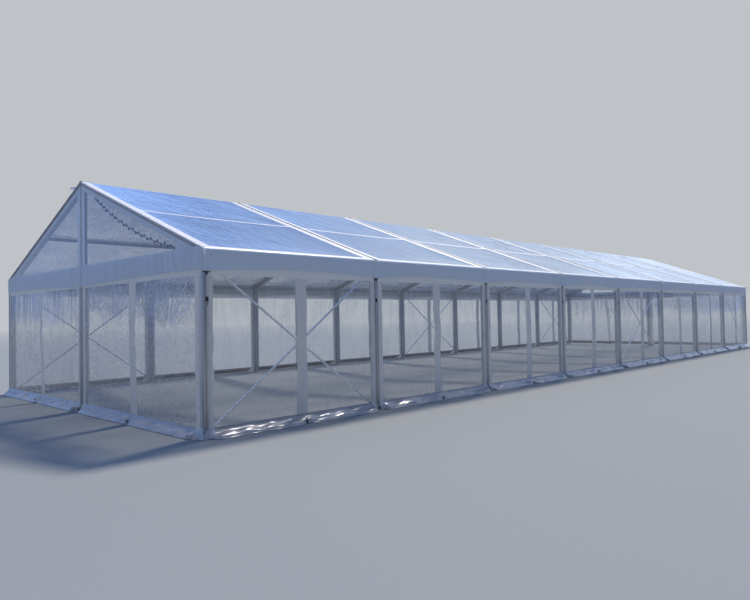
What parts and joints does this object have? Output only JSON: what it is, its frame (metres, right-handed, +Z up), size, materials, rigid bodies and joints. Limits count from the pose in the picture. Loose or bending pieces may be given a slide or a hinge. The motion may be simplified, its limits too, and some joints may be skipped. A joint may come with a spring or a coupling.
{
  "type": "marquee tent",
  "caption": "Long marquee tent with clear roof and walls: aluminium portal frames under gabled PVC roof sheets with white hems, valance, cross bracing and ground skirt.",
  "frame": {"origin": "on the ground at the middle of the tent's plan", "axes": "+X along the ridge towards the rear gable, +Y from the near long side to the far one, +Z up"},
  "size_m": [24.3126, 7.8126, 3.735],
  "materials": {
    "aluminium": "mill finish extrusion, lightly weathered",
    "galvanised_steel": "galvanised, satin",
    "clear_pvc": "clear film, glossy with soft ripples",
    "white_pvc": "coated fabric, semi-gloss",
    "black_fitting": "moulded, matt",
    "black_cable": "matt"
  },
  "bodies": {
    "root": {"rafter_pair_1": "aluminium", "near_leg_1": "aluminium", "far_leg_1": "aluminium", "rafter_pair_2": "aluminium", "near_leg_2": "aluminium", "far_leg_2": "aluminium", "rafter_pair_3": "aluminium", "near_leg_3": "aluminium", "far_leg_3": "aluminium", "rafter_pair_4": "aluminium", "near_leg_4": "aluminium", "far_leg_4": "aluminium", "rafter_pair_5": "aluminium", "near_leg_5": "aluminium", "far_leg_5": "aluminium", "rafter_pair_6": "aluminium", "near_leg_6": "aluminium", "far_leg_6": "aluminium", "rafter_pair_7": "aluminium", "near_leg_7": "aluminium", "far_leg_7": "aluminium", "rafter_pair_8": "aluminium", "near_leg_8": "aluminium", "far_leg_8": "aluminium", "rafter_pair_9": "aluminium", "near_leg_9": "aluminium", "far_leg_9": "aluminium", "ridge_beam": "aluminium", "near_purlin": "aluminium", "far_purlin": "aluminium", "near_eave_beam": "aluminium", "far_eave_beam": "aluminium", "front_gable_post": "aluminium", "front_gable_rail": "aluminium", "front_wall": "clear_pvc", "front_gable_sheet": "clear_pvc", "rear_gable_post": "aluminium", "rear_gable_rail": "aluminium", "rear_wall": "clear_pvc", "rear_gable_sheet": "clear_pvc", "near_wall": "clear_pvc", "near_cross_brace_1": "galvanised_steel", "near_cross_brace_5": "galvanised_steel", "near_cross_brace_8": "galvanised_steel", "far_wall": "clear_pvc", "far_cross_brace_1": "galvanised_steel", "far_cross_brace_5": "galvanised_steel", "far_cross_brace_8": "galvanised_steel", "roof_sheet_1": "clear_pvc", "roof_sheet_2": "clear_pvc", "roof_sheet_3": "clear_pvc", "roof_sheet_4": "clear_pvc", "roof_sheet_5": "clear_pvc", "roof_sheet_6": "clear_pvc", "roof_sheet_7": "clear_pvc", "roof_sheet_8": "clear_pvc", "light_string": "black_cable"}
  },
  "joints": []
}
